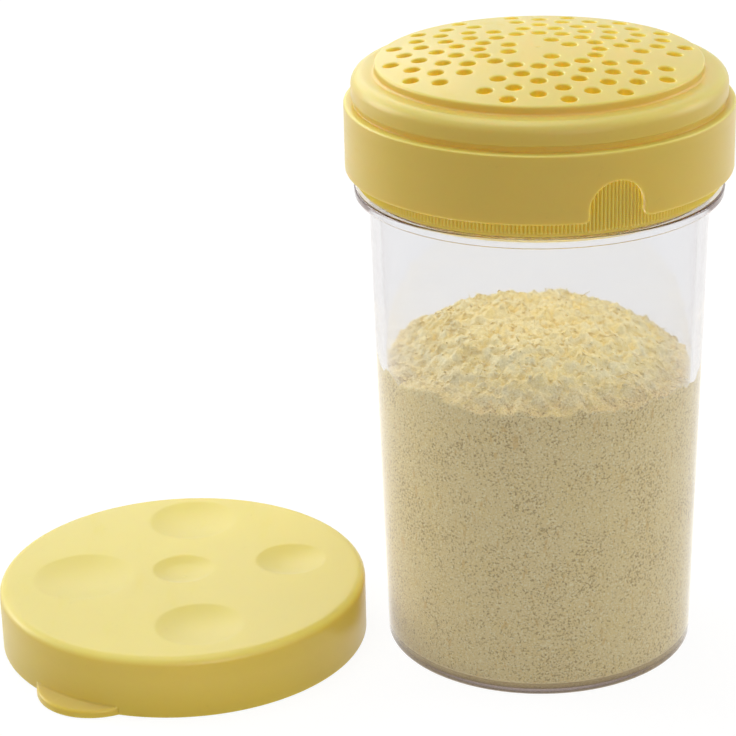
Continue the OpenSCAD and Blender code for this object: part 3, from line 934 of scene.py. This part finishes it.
class SHAKER_OT_ring(bpy.types.Operator):
    """Makes the screw ring with its fine grip ribs outside and its thread inside"""

    bl_idname = "shaker.ring"
    bl_label = "Screw ring"

    rib_points: number("Points on a rib", "Points round each rib", 6)
    wall_step: length("Wall step", "Height of a face inside the wall", 0.0003)

    def execute(self, context):
        s = context.scene.shaker_ring
        form = Form()
        fine = even_angles(s.rib_count * self.rib_points)
        plain = even_angles(s.rib_count)
        low, top, crest_r = ring_low.z, ring_high.z, ring_high.x
        root_r = crest_r - s.rib_depth
        wave = (0.5 - 0.5 * np.cos(fine * s.rib_count)) ** RIB_POWER
        hem_z = low + s.hem
        # Radius, height and how much of the ribs' full height stands there
        outside = [
            (root_r - s.hem_slant - 0.0003, low, 0),
            (root_r - s.hem_slant, low + 0.00006, 0),
            (root_r - s.hem_slant + 0.00014, low + 0.0002, 0),
            (root_r - 0.00004, hem_z - 0.00012, 0),
            (root_r, hem_z, 0.12),
            (root_r, hem_z + 0.00014, 0.6),
            (root_r, hem_z + 0.0003, 0.9),
            (root_r, hem_z + 0.0005, 1),
            (root_r, top - 0.0012, 1),
            (root_r, top - 0.0007, 0.9),
            (root_r - 0.00004, top - 0.0004, 0.4),
            (root_r - 0.0002, top - 0.00012, 0),
            (root_r - 0.0005, top, 0),
        ]
        rows = []
        for r, z, part in outside:
            rows += form.turn([(r + wave * s.rib_depth * part, z)], fine)
        form.join_all(rows)
        over = rounded([
            (root_r - 0.0012, top, 0),
            (s.web_r, top, 0.0003),
            (s.web_r, s.web_z, 0.0003),
            (s.inner_r, s.web_z, 0.0005),
            (s.inner_r, s.web_z - 0.0009, 0),
        ], steps=4)
        inner = form.turn(over, plain)
        form.spread(inner[0], rows[-1])
        wall_top, wall_foot = s.web_z - 0.0012, low + 0.0009
        count = int((wall_top - wall_foot) / self.wall_step)
        for z in np.linspace(wall_top, wall_foot, count):
            height = thread_height(plain, z, s.thread_z, math.pi, s.thread_turns, s)
            inner += form.turn([(s.inner_r - height, z)], plain)
        under = [(s.inner_r, low + 0.0006), (s.inner_r + 0.0001, low + 0.0002), (s.inner_r + 0.0004, low)]
        inner += form.turn(under, plain)
        form.join_all(inner)
        form.spread(inner[-1], rows[0])
        tint = context.scene.shaker_finish.ring
        # The ring's rib grooves take only a little of the painted groove shade and painted glow
        material = moulded_plastic("ribbed_lemon_plastic", tint, satin=0.36, texture=0.3, depth=0.15)
        finish_piece(form, "screw_ring", "ring", material, crease=50)
        return {"FINISHED"}


class SHAKER_OT_cap(bpy.types.Operator):
    """Makes the sieve cap: domed sieve with rounded holes, shoulder, ledge, and skirt with its thumb notch"""

    bl_idname = "shaker.cap"
    bl_label = "Sieve cap"

    columns: number("Columns", "Points round the cap, one a degree", 360)
    notch_columns: number("Notch columns", "Columns that the notch takes up on either side of its middle", 13)

    def dome(self, s, drop=0.0):
        """Gives the height of the sieve's sphere over any place, or of one that lies drop under it. Only the
        upper one bears the gate's mark"""
        edge_z = s.ledge_z + s.shoulder_h + s.riser_h
        rise = cap_high.z - edge_z
        ball = (s.sieve_r**2 + rise**2) / (2 * rise)
        middle_z = cap_high.z - ball

        def height(x, y):
            """Height of the sphere over a place"""
            mark = 0 if drop else s.gate_depth * max(0, 1 - (x * x + y * y) / s.gate_r**2) ** 2
            return middle_z + math.sqrt((ball - drop) ** 2 - x * x - y * y) - mark

        return height

    def holes(self, s):
        """Middles of the sieve's holes"""
        found = []
        for reach, slots, turn, crossed in HOLE_RINGS:
            r = s.sieve_r * reach
            for j in range(slots):
                a = turn + 360 * j / slots
                near = [
                    spoke
                    for spoke in SPOKES
                    if math.cos(math.radians(a - spoke)) > 0
                    and abs(r * math.sin(math.radians(a - spoke))) < s.sieve_r * SPOKE_SHARE
                ]
                if not (crossed and near):
                    found.append((r * math.cos(math.radians(a)), r * math.sin(math.radians(a))))
        return found

    def plate(self, form, s, edge, height, holes, rim):
        """One face of the sieve, from its edge row in, round the holes' rims. Returns the rims' rows"""
        points = form.points
        reach = math.hypot(*points[edge[0]][:2])
        rims, loops = [], [[(n, points[n][:2]) for n in edge]]
        loose = [(0.0, 0.0)]
        for part in (0.35, 0.7, 1.0, 1.4):
            loose += circle(0, 0, s.gate_r * part, 14, part)
        guard = rim + 0.0003
        for x, y in holes:
            flat = circle(x, y, rim, s.hole_turns)
            rims.append(form.add([(px, py, height(px, py)) for px, py in flat]))
            loops.append(list(zip(rims[-1], flat)))
            loose += [p for p in circle(x, y, guard, 20, 0.1) if math.hypot(*p) < reach - 0.0002]
        for x, y in honeycomb(SIEVE_GRID, reach):
            between = s.gate_r * 1.9 < math.hypot(x, y) < reach - 0.0008
            if between and all(math.hypot(x - hx, y - hy) > guard + 0.0005 for hx, hy in holes):
                loose.append((x, y))
        form.sheet(loops, loose, lambda x, y: (x, y, height(x, y)))
        return rims

    def execute(self, context):
        s = context.scene.shaker_cap
        form = Form()
        angles = even_angles(self.columns)
        holes = self.holes(s)
        over, under = self.dome(s), self.dome(s, s.plate_t)
        skirt_r, skirt_z = cap_high.x, cap_low.z
        skirt_in_r = skirt_r - s.skirt_wall
        shoulder_r = skirt_r - s.ledge_w
        shoulder_z = s.ledge_z + s.shoulder_h
        ring_top = ring_high.z
        wall_in_r = shoulder_r - s.plate_t - s.groove_depth
        dome_in_r = s.sieve_r - s.riser_wall
        groove_r = shoulder_r - s.groove_depth

        rim_r = s.sieve_r - 0.0009
        outside = rounded([
            (rim_r, over(rim_r, 0), 0),
            (s.sieve_r, over(s.sieve_r, 0), s.sieve_round),
            (s.sieve_r, shoulder_z, s.sieve_round),
            (shoulder_r, shoulder_z, s.shoulder_round),
            (shoulder_r, s.ledge_z + s.groove_h, 0.00022),
            (groove_r, s.ledge_z + s.groove_h, 0.00018),
            (groove_r, s.ledge_z, 0.00025),
            (skirt_r, s.ledge_z, s.edge_round),
            (skirt_r, s.ledge_z - 0.0014, 0),
        ], steps=6)
        rows = form.turn(outside, angles)
        form.join_all(rows)
        tops = self.plate(form, s, rows[0], over, holes, s.hole_r + s.hole_round)

        bevel = 0.0001
        inside = rounded([
            (skirt_in_r, ring_top - 0.0012, 0),
            (skirt_in_r, ring_top, 0.0003),
            (wall_in_r, ring_top, 0.0003),
            (wall_in_r, shoulder_z - s.plate_t, s.shoulder_round / 2),
            (dome_in_r, shoulder_z - s.plate_t, 0.0004),
            (dome_in_r, under(dome_in_r, 0) - bevel, 0),
            (dome_in_r - bevel, under(dome_in_r - bevel, 0), 0),
        ], steps=4)
        hollow = form.turn(inside, angles)
        form.join_all(hollow)
        bottoms = self.plate(form, s, hollow[-1], under, holes, s.hole_r + UNDER_BEVEL)
        for (x, y), top, bottom in zip(holes, tops, bottoms):
            self.bore(form, s, (x, y), top, bottom, over, under)

        self.skirt(form, s, rows[-1], hollow[0], skirt_r, skirt_in_r, skirt_z, angles)
        tint = context.scene.shaker_finish.cap
        # The sieve's holes take a painted glow, and the cap's sides painted shade
        material = moulded_plastic("cream_yellow_plastic", tint, satin=0.34, holed_r=s.sieve_r - 0.0013)
        finish_piece(form, "sieve_cap", "cap", material)
        return {"FINISHED"}

    def bore(self, form, s, middle, top, bottom, over, under):
        """A hole's rounded upper rim, its wall and its small lower bevel"""
        rows = [top]
        for across, along in quarter(4, 1):
            flat = circle(*middle, s.hole_r + s.hole_round * across, s.hole_turns)
            drop = s.hole_round * along
            rows.append(form.add([(x, y, over(x, y) - drop) for x, y in flat]))
        flat = circle(*middle, s.hole_r, s.hole_turns)
        rows.append(form.add([(x, y, over(x, y) - s.hole_round - 0.0002) for x, y in flat]))
        for lift in (0.0003, UNDER_BEVEL):
            rows.append(form.add([(x, y, under(x, y) + lift) for x, y in flat]))
        form.join_all([*rows, bottom])

    def edge_line(self, s, skirt_r, skirt_in_r):
        """The skirt's lower edge in section: how far a point lies in from the edge, and its radius"""
        corners = [
            (s.edge_round * 1.5, skirt_r, 0),
            (0, skirt_r, s.edge_round),
            (0, skirt_in_r, s.inner_round),
            (s.edge_round * 1.5, skirt_in_r, 0),
        ]
        return rounded(corners, steps=5)

    def notch_line(self, s, skirt_z, reach):
        """The lower edge from one side of the notch to the other: across and up"""
        half = s.notch_w / 2
        arch_z = skirt_z + s.notch_h - half
        foot = rounded([(-reach, skirt_z, 0), (-half, skirt_z, s.notch_round), (-half, arch_z, 0)], steps=8)
        side = np.linspace(foot[-2][1], arch_z, 4)[1:-1]
        left = foot[1:-1] + [(-half, z) for z in side]
        arch = [(half * math.cos(a), arch_z + half * math.sin(a)) for a in np.linspace(math.pi, 0, 33)]
        return left + arch + [(-x, z) for x, z in reversed(left)]

    def skirt(self, form, s, top_row, inner_row, skirt_r, skirt_in_r, skirt_z, angles):
        """The skirt: plain rows round most of the turn, and an edge strip and two panels round the notch"""
        edge = self.edge_line(s, skirt_r, skirt_in_r)
        top_z = form.points[top_row[0]][2]
        inner_z = form.points[inner_row[0]][2]
        outer_heights = np.linspace(top_z, skirt_z + edge[0][0], 9)[1:-1]
        inner_heights = np.linspace(skirt_z + edge[-1][0], inner_z, 9)[1:-1]
        outer_rows = form.turn([(skirt_r, z) for z in outer_heights], angles)
        edge_rows = form.turn([(r, skirt_z + inset) for inset, r in edge], angles)
        inner_rows = form.turn([(skirt_in_r, z) for z in inner_heights], angles)
        middle = round(math.degrees(s.notch_angle)) % self.columns
        first, last = middle - self.notch_columns, middle + self.notch_columns
        rows = [top_row, *outer_rows, *edge_rows, *inner_rows, inner_row]
        for a, b in zip(rows, rows[1:]):
            form.join(a, b, last, first + self.columns)

        def flat(point):
            """A point's place across the notch and its height"""
            x, y, z = form.points[point]
            return (y * math.cos(s.notch_angle) - x * math.sin(s.notch_angle), z)

        def lift(r, across, z):
            """The place on the skirt, at radius r, of a point across the notch"""
            out = math.sqrt(r * r - across * across)
            return (
                out * math.cos(s.notch_angle) - across * math.sin(s.notch_angle),
                out * math.sin(s.notch_angle) + across * math.cos(s.notch_angle),
                z,
            )

        line = self.notch_line(s, skirt_z, abs(flat(edge_rows[-1][first])[0]))
        padded = [(line[0][0] - 0.001, skirt_z), *line, (line[-1][0] + 0.001, skirt_z)]
        strips = []
        for (inset, r), row in zip(edge, edge_rows):
            strip = [row[first]]
            for before, here, after in zip(padded, line, padded[2:]):
                run = Vector((after[0] - before[0], after[1] - before[1])).normalized()
                across, z = here[0] - run.y * inset, here[1] + run.x * inset
                strip += form.add([lift(r, across, z)])
            strips.append([*strip, row[last]])
        for a, b in zip(strips, strips[1:]):
            form.join(a, b, 0, len(a) - 1)
        outer_rows, inner_rows = [top_row, *outer_rows], [inner_row, *reversed(inner_rows)]
        for r, rows, strip in ((skirt_r, outer_rows, strips[0]), (skirt_in_r, inner_rows, strips[-1])):
            self.panel(form, s, flat, lift, r, rows, strip, first, last, skirt_z)

    def panel(self, form, s, flat, lift, r, rows, strip, first, last, skirt_z):
        """The skirt's outer or inner face round the notch, from one plain column to the other"""
        outline = [rows[0][i] for i in range(first, last + 1)]
        outline += [row[last] for row in rows[1:]]
        outline += strip[::-1]
        outline += [row[first] for row in reversed(rows[1:])]
        loop = [(n, flat(n)) for n in outline]
        half = s.notch_w / 2 + 0.0011
        arch_z = skirt_z + s.notch_h - s.notch_w / 2
        reach = abs(flat(rows[0][last])[0])
        top = form.points[rows[0][0]][2]
        loose = []
        for across, z in honeycomb(NOTCH_GRID, 0.02):
            z += skirt_z + 0.0103
            inside = abs(across) < reach - 0.0006 and skirt_z + 0.0016 < z < top - 0.0005
            clear = math.hypot(across, max(0, z - arch_z)) > half or abs(across) > half
            if inside and clear:
                loose.append((across, z))
        form.sheet([loop], loose, lambda across, z: lift(r, across, z))


class SHAKER_OT_lid(bpy.types.Operator):
    """Makes the seal lid with its dimples, snap bead and pull tab"""

    bl_idname = "shaker.lid"
    bl_label = "Seal lid"

    def angles(self, s):
        """One column a degree, and four a degree near the tab"""
        half = 22  # degrees on either side of the tab's middle
        near = np.arange(-4 * half, 4 * half) / 4
        far = np.arange(half, 360 - half)
        return s.tab_angle + np.radians(np.concatenate([near, far]))

    def execute(self, context):
        s = context.scene.shaker_lid
        form = Form()
        low, top = lid_low.z, lid_high.z
        middle = ((lid_low.x + lid_high.x) / 2, (lid_low.y + lid_high.y) / 2)
        lid_r = (lid_high.x - lid_low.x) / 2
        inner_r = lid_r - s.wall
        angles = self.angles(s)
        out = self.tab_out(s, angles, lid_r)
        dimples = [(x * lid_r, y * lid_r, r * lid_r) for x, y, r in DIMPLES]

        def face(x, y):
            """How far the top is sunk at a place, from the lid's middle"""
            sunk = 0.0
            for dx, dy, r in dimples:
                ball = (r * r + s.dimple_depth**2) / (2 * s.dimple_depth)
                away = (x - dx) ** 2 + (y - dy) ** 2
                if away < (r * 1.3) ** 2:
                    deep = math.sqrt(ball * ball - away) - ball + s.dimple_depth
                    sunk = max(sunk, soft_max(deep, 0, s.dimple_soft))
            gate = max(0, 1 - ((x - LID_GATE[0]) ** 2 + (y - LID_GATE[1]) ** 2) / LID_GATE_R**2)
            return sunk - LID_GATE_RISE * gate * gate

        over = rounded([
            (lid_r - s.top_round - 0.0008, top, 0),
            (lid_r, top, s.top_round),
            (lid_r, low + s.tab_t + 0.0016, 0),
        ], steps=9)
        rows = form.turn(over, angles, middle)
        for across, along in quarter(4):
            foot = np.minimum(out, TAB_FILLET * along)
            rows += form.turn([(lid_r + foot, low + s.tab_t + TAB_FILLET * across)], angles, middle)
        inset = np.minimum(s.tab_round, out * 0.6)
        for across, along in quarter(5):
            r = lid_r + out - inset * across
            rows += form.turn([(r, low + s.tab_t - s.tab_round * along)], angles, middle)
        foot = [
            (lid_r + out, low + s.foot_round * 2),
            (lid_r + out, low + s.foot_round),
            (lid_r + out - s.foot_round * 0.3, low + s.foot_round * 0.3),
            (lid_r + out - s.foot_round, low),
            (inner_r + 0.0006, low),
            (inner_r + 0.0003, low + 0.00008),
        ]
        rows += form.turn(foot, angles, middle)
        steps = 8
        bead = [
            (inner_r - s.bead_h * math.sin(math.pi * k / steps), low + 0.0002 + s.bead_w * k / steps)
            for k in range(steps + 1)
        ]
        inside = rounded([
            (inner_r, low + s.bead_w + 0.0006, 0),
            (inner_r, top - s.top_t, 0.0006),
            (inner_r - 0.0016, top - s.top_t, 0),
        ], steps=5)
        rows += form.turn(bead + inside, angles, middle)
        form.join_all(rows)
        self.top_sheet(form, rows[0], middle, dimples, top, face)
        self.top_sheet(form, rows[-1], middle, dimples, top - s.top_t, face)
        tint = context.scene.shaker_finish.cap
        # The lid's sides, its tab and its lowest part are painted in shade
        material = moulded_plastic("cream_yellow_lid_plastic", tint, satin=0.36, shade_below=s.tab_t + 0.0008)
        finish_piece(form, "seal_lid", "lid", material)
        return {"FINISHED"}

    def tab_out(self, s, angles, lid_r):
        """How far the edge stands out from the lid at all angles: the tab is part of a disc"""
        reach = lid_r + s.tab_reach - s.tab_r
        off = (angles - s.tab_angle + math.pi) % FULL_TURN - math.pi
        meets = (np.abs(np.sin(off)) * reach < s.tab_r) & (np.cos(off) > 0)
        edge = reach * np.cos(off) + np.sqrt(np.maximum(s.tab_r**2 - (reach * np.sin(off)) ** 2, 0))
        return np.maximum(np.where(meets, edge, lid_r) - lid_r, 0)

    def top_sheet(self, form, edge, middle, dimples, z, face):
        """The upper or lower face of the lid's top, with its dimples"""
        mx, my = middle
        reach = math.hypot(form.points[edge[0]][0] - mx, form.points[edge[0]][1] - my)
        loop = [(n, (form.points[n][0] - mx, form.points[n][1] - my)) for n in edge]
        loose = [LID_GATE]
        for r, count in ((0.0003, 8), (0.0006, 10), (0.001, 12)):
            loose += circle(*LID_GATE, r, count)
        for dx, dy, r in dimples:
            over_gate = math.hypot(dx, dy) < 0.004
            rims = [r + k * RIM_STEP for k in range(-4, 5)]
            bowl = [r * k / 8 for k in range(1, 8) if r * k / 8 < rims[0] - 0.0004]
            for index, radius in enumerate(bowl + rims):
                if over_gate and radius < min(r - 0.0015, 0.0035):
                    continue
                steps = max(12, int(FULL_TURN * radius / 0.0009))
                ring = circle(dx, dy, radius, steps, 0.3 * index)
                loose += [p for p in ring if math.hypot(*p) < reach - 0.0006]
            if not over_gate:
                loose.append((dx, dy))
        rim = 4 * RIM_STEP + 0.0006
        for x, y in honeycomb(LID_GRID, reach):
            between = 0.0016 < math.hypot(x, y) < reach - 0.0009
            if between and all(math.hypot(x - dx, y - dy) > r + rim for dx, dy, r in dimples):
                loose.append((x, y))
        form.sheet([loop], loose, lambda x, y: (x + mx, y + my, z - face(x, y)))


class SHAKER_OT_cheese(bpy.types.Operator):
    """Makes the heap of grated cheese, pressed to the wall and strewn with loose flakes"""

    bl_idname = "shaker.cheese"
    bl_label = "Grated cheese"

    columns: number("Columns", "Points round the heap", 300)

    def heap(self, s, x, y):
        """Height of the heap's surface over a place: a low dome with terraces and lumps 9.5 to 0.5 mm wide"""
        away = max(0, math.hypot(x + s.heap_left, y - s.heap_back) - s.heap_flat_r)
        z = s.heap_h - s.heap_round + math.sqrt(s.heap_round**2 - away * away)
        p = Vector((x, y, 0.0003)) * MM
        z += 0.0009 * noise.noise(p / 9.5) + 0.00075 * noise.noise(p / 4.2 + Vector((7, 1, 0)))
        z += 0.0013 * noise.noise(p / 2.3) + 0.0007 * noise.noise(p / 1.1) + 0.0003 * noise.noise(p / 0.5)
        return z + 0.0005 * math.tanh(4 * noise.noise(Vector((x * 90, y * 160, 4.2))))

    def execute(self, context):
        s, jar = context.scene.shaker_cheese, context.scene.shaker_jar
        rng = np.random.default_rng(s.seed)
        form = Form()
        angles = even_angles(self.columns)

        def wall_r(z):
            """Radius at which the cheese's side clears the wall"""
            t = z / jar.wall_h
            return jar.foot_r - jar.wall + (jar.top_r - jar.foot_r) * t - s.gap

        low = jar.floor - TOUCH
        foot_r = wall_r(jar.floor) + s.gap + TOUCH
        bend = jar.floor_round
        under = [(foot_r - bend * across, low + bend * along) for across, along in quarter(6)]
        rows = form.turn([(foot_r * 0.55, low), *under], angles)
        rim_z = self.rim(s, angles)
        steps = int((HEAP_FOOT_Z - low - bend) / s.grain)
        start_z = low + bend
        for k in range(1, steps + 1):
            t = k / steps
            z = start_z + (rim_z - 0.0007 - start_z) * t
            radius = np.array([wall_r(zi) + self.press(s, a, zi) for a, zi in zip(angles, z)])
            rows += form.turn([(radius, z)], angles)
        rows += form.turn([(np.array([wall_r(z) - 0.0001 for z in rim_z]), rim_z - 0.00035)], angles)
        form.join_all(rows)
        form.tip(rows[0], (0, 0, low))
        loop = [(n, form.points[n][:2]) for n in rows[-1]]
        loose = []
        for x, y in honeycomb(HEAP_GRID, 0.036):
            x += rng.uniform(-HEAP_SHIFT, HEAP_SHIFT)
            y += rng.uniform(-HEAP_SHIFT, HEAP_SHIFT)
            if math.hypot(x, y) < wall_r(HEAP_FOOT_Z) - 0.0011:
                loose.append((x, y))
        form.sheet([loop], loose, lambda x, y: (x, y, self.heap(s, x, y)))
        self.strew(form, s, rng, wall_r)
        finish = context.scene.shaker_finish
        material = cheese_finish("grated_hard_cheese", finish.cheese, finish.cheese_shadow_and_streaks)
        finish_piece(form, "grated_cheese", "jar", material, crease=80)
        return {"FINISHED"}

    def rim(self, s, angles):
        """Height of the uneven line at which the heap meets the wall, at all angles"""
        rim_r = 0.0335  # the heap is read a little in from the wall
        rim_z = np.array([self.heap(s, rim_r * math.cos(a), rim_r * math.sin(a)) - 0.0003 for a in angles])
        return rim_z + [
            0.0005 * noise.noise(Vector((math.cos(a) * 28, math.sin(a) * 28, 3)))
            + 0.0005 * noise.noise(Vector((math.cos(a) * 60, math.sin(a) * 60, 5)))
            for a in angles
        ]

    def press(self, s, a, z):
        """How far the side reaches past its clearance, so that its grains touch the wall"""
        p = Vector((math.cos(a) * 36, math.sin(a) * 36, z * MM))
        return s.gap + PRESS + PRESS_WAVE * noise.noise(p / 0.9)

    def strew(self, form, s, rng, wall_r):
        """Adds small curled flakes and a few long shreds, each a closed strip that tapers at its ends"""
        for index in range(s.flakes):
            r = wall_r(STREW_Z) * math.sqrt(rng.uniform(0, 1))
            a = rng.uniform(0, FULL_TURN)
            x, y = r * math.cos(a), r * math.sin(a)
            if index % SHRED_EVERY:
                stations, width, thick, curl, over = FLAKE
                reach = FLAKE_LEAST + FLAKE_MORE * rng.random() ** 2
            else:
                stations, width, thick, curl, over = SHRED
                reach = rng.uniform(*SHRED_REACH)
            width, thick, curl = rng.uniform(*width), rng.uniform(*thick), rng.uniform(-curl, curl)
            heading = rng.uniform(0, FULL_TURN)
            up = (self.heap_normal(s, x, y) + Vector(rng.uniform(-FLAKE_LEAN, FLAKE_LEAN, 3))).normalized()
            ahead = Vector((math.cos(heading), math.sin(heading), 0))
            ahead = (ahead - up * ahead.dot(up)).normalized()
            side = up.cross(ahead)
            middle = Vector((x, y, self.heap(s, x, y) + thick * rng.uniform(*over)))
            rows = []
            for k in range(stations):
                t = k / (stations - 1) - 0.5
                taper = 1 - 1.5 * t * t
                centre = middle + ahead * (reach * t) + up * (reach * curl * (t * t - 0.08))
                centre += side * (reach * 0.25 * curl * t * t)
                tilt = (side + up * 0.3 * (curl * t)).normalized()
                lift = ahead.cross(tilt).normalized() * thick / 2 * taper
                half = tilt * width / 2 * taper
                ring = [centre - half, centre + lift, centre + half, centre - lift]
                rows.append(form.add([self.keep_in(p, wall_r) for p in ring]))
            form.join_all(rows)
            form.faces.append(tuple(rows[0]))
            form.faces.append(tuple(reversed(rows[-1])))

    def heap_normal(self, s, x, y):
        """Direction that stands up from the heap's surface over a place"""
        step = 0.0006
        slope_x = (self.heap(s, x + step, y) - self.heap(s, x - step, y)) / (2 * step)
        slope_y = (self.heap(s, x, y + step) - self.heap(s, x, y - step)) / (2 * step)
        return Vector((-slope_x, -slope_y, 1)).normalized()

    def keep_in(self, p, wall_r):
        """Keeps a flake's point inside the wall and not far over the solid heap's top"""
        r = math.hypot(p.x, p.y)
        most = wall_r(p.z) - 0.0001
        if r > most:
            p = Vector((p.x * most / r, p.y * most / r, p.z))
        return Vector((p.x, p.y, min(p.z, cheese_high.z + 0.0015)))


class SHAKER_PT_panel(bpy.types.Panel):
    """Lists the shaker's pieces and settings"""

    bl_idname = "SHAKER_PT_panel"
    bl_label = "Parmesan shaker"
    bl_space_type = "VIEW_3D"
    bl_region_type = "UI"
    bl_category = "Shaker"

    def draw(self, context):
        for operator in OPERATORS:
            self.layout.operator(operator.bl_idname, text=operator.bl_label)
        for name, group in GROUPS.items():
            box = self.layout.box()
            box.label(text=group.__doc__)
            for key in group.__annotations__:
                box.prop(getattr(context.scene, name), key)


OPERATORS = (
    SHAKER_OT_jar,
    SHAKER_OT_cheese,
    SHAKER_OT_washer,
    SHAKER_OT_ring,
    SHAKER_OT_cap,
    SHAKER_OT_lid,
    SHAKER_OT_stage,
)


def register():
    """Adds the settings, operators and panel to Blender"""
    for group in GROUPS.values():
        bpy.utils.register_class(group)
    for name, group in GROUPS.items():
        setattr(bpy.types.Scene, name, bpy.props.PointerProperty(type=group))
    for operator in OPERATORS:
        bpy.utils.register_class(operator)
    bpy.utils.register_class(SHAKER_PT_panel)


def unregister():
    """Takes them out again"""
    bpy.utils.unregister_class(SHAKER_PT_panel)
    for operator in reversed(OPERATORS):
        bpy.utils.unregister_class(operator)
    for name in GROUPS:
        delattr(bpy.types.Scene, name)
    for group in reversed(list(GROUPS.values())):
        bpy.utils.unregister_class(group)


def main():
    """Makes the pieces and then the stage, which lights them"""
    register()
    bpy.ops.shaker.jar()
    bpy.ops.shaker.cheese()
    bpy.ops.shaker.washer()
    bpy.ops.shaker.ring()
    bpy.ops.shaker.cap()
    bpy.ops.shaker.lid()
    bpy.ops.shaker.stage()


if __name__ == "__main__":
    main()
